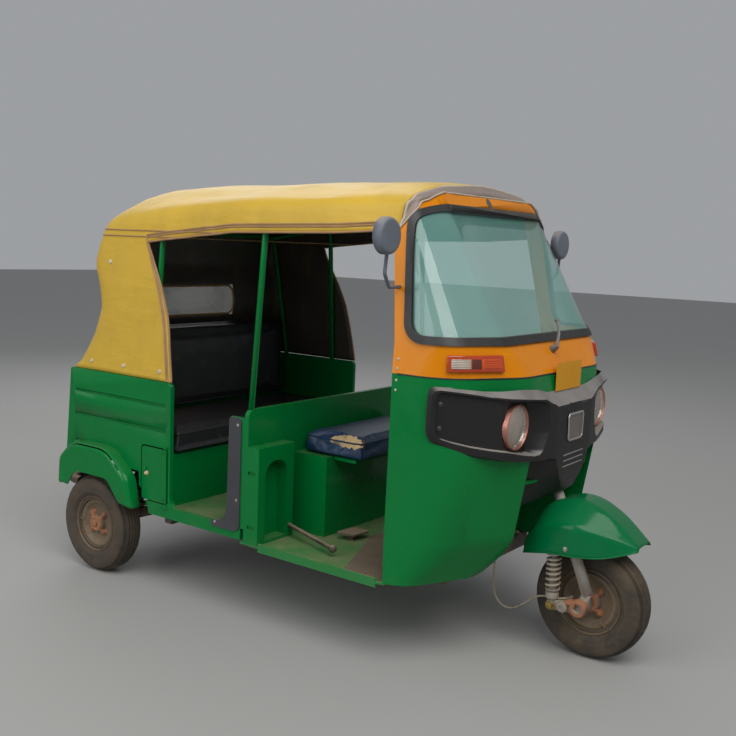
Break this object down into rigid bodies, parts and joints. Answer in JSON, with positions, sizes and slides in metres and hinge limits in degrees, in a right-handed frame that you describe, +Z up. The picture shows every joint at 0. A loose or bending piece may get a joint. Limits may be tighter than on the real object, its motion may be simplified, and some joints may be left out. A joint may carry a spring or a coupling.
{
  "type": "auto rickshaw",
  "caption": "Three-wheeled passenger auto rickshaw with a steel tub, wrapped windscreen and fabric roof.",
  "frame": {"origin": "on the ground, below the middle of the vehicle's bounding box", "axes": "+X forward, +Y to the vehicle's left, +Z up"},
  "size_m": [2.5199, 1.384, 1.6702],
  "materials": {
    "green_paint": "glossy green enamel, lightly scratched and dusty",
    "yellow_paint": "glossy orange-yellow enamel",
    "frame_paint": "black chassis paint, dusty",
    "green_tube": "green enamel on tube",
    "silver_paint": "grey silver paint, dusty",
    "wheel_paint": "dusty beige wheel paint",
    "tyre": "dusty tyre rubber",
    "seal_rubber": "satin black rubber",
    "screen_glass": "clear, slightly green glass",
    "fascia_plastic": "satin black plastic with a faded top edge",
    "trim_plastic": "dusty dark grey plastic",
    "lamp_lens": "clear lens over a warm reflector",
    "amber_lens": "amber and clear ribbed lens",
    "red_lens": "red ribbed lens",
    "plate_paint": "blank yellow plate",
    "mirror_shell": "grey plastic shell",
    "canopy_cloth": "mustard coated cloth, dusty, with piping",
    "cap_cloth": "faded grey-brown coated cloth",
    "clear_film": "clouded clear film",
    "seat_vinyl": "navy seat vinyl with a torn patch",
    "bench_vinyl": "black seat vinyl",
    "board": "green painted board",
    "mat_rubber": "ribbed brown rubber mat",
    "engine_metal": "oily cast aluminium",
    "exhaust_steel": "heat-stained black steel",
    "spring_paint": "cream grey spring paint, dusty"
  },
  "bodies": {
    "root": {"chassis_frame": "frame_paint", "side_panel_left": "green_paint", "side_panel_right": "green_paint", "rear_suspension": "frame_paint", "rear_mudguards": "green_paint", "drive_shafts": "frame_paint", "engine_block": "engine_metal", "silencer": "exhaust_steel", "rear_panel": "green_paint", "rear_bumper": "frame_paint", "tail_lamps": "red_lens", "floor_pan": "green_paint", "toe_board": "green_paint", "floor_mat": "mat_rubber", "foot_controls": "frame_paint", "bulkhead": "green_paint", "door_trims": "trim_plastic", "driver_cushion": "seat_vinyl", "passenger_cushion": "bench_vinyl", "bench_base": "green_paint", "seat_back_panel": "board", "passenger_backrest": "bench_vinyl", "front_apron": "green_paint", "windscreen_surround": "yellow_paint", "windscreen_seal": "seal_rubber", "windscreen_glass": "screen_glass", "front_fascia": "fascia_plastic", "headlamps": "lamp_lens", "indicators": "amber_lens", "front_plate": "plate_paint", "dash_shelf": "trim_plastic", "wiper": "seal_rubber", "mirrors": "mirror_shell", "canopy": "canopy_cloth", "rear_window": "clear_film", "canopy_cap": "cap_cloth", "canopy_frame": "green_tube"},
    "steering": {"steering_fork": "silver_paint", "front_spring": "spring_paint", "front_mudguard": "green_paint", "handlebar": "frame_paint"},
    "front_wheel": {"front_tyre": "tyre", "front_rim": "wheel_paint"},
    "rear_left_wheel": {"rear_left_tyre": "tyre", "rear_left_rim": "wheel_paint"},
    "rear_right_wheel": {"rear_right_tyre": "tyre", "rear_right_rim": "wheel_paint"},
    "hatch": {"engine_hatch": "green_paint"},
    "side_door": {"access_door": "green_paint"}
  },
  "joints": [
    {"name": "steering_turn", "type": "hinge", "parent": "root", "child": "steering", "pos_m": [1.025, 0, 0.265], "axis": [-0.3907, 0, 0.9205], "range_deg": [-40, 40]},
    {"name": "front_wheel_roll", "type": "hinge", "parent": "steering", "child": "front_wheel", "pos_m": [1.055, 0, 0.205], "axis": [0, 1, 0], "continuous": true},
    {"name": "rear_left_wheel_roll", "type": "hinge", "parent": "root", "child": "rear_left_wheel", "pos_m": [-0.915, 0.585, 0.205], "axis": [0, 1, 0], "continuous": true},
    {"name": "rear_right_wheel_roll", "type": "hinge", "parent": "root", "child": "rear_right_wheel", "pos_m": [-0.915, -0.585, 0.205], "axis": [0, 1, 0], "continuous": true},
    {"name": "hatch_lift", "type": "hinge", "parent": "root", "child": "hatch", "pos_m": [-1.12822, 0, 0.765], "axis": [0, 1, 0], "range_deg": [0, 75]},
    {"name": "side_door_swing", "type": "hinge", "parent": "root", "child": "side_door", "pos_m": [-0.504, -0.602, 0.471], "axis": [0, 0, 1], "range_deg": [0, 100]}
  ]
}
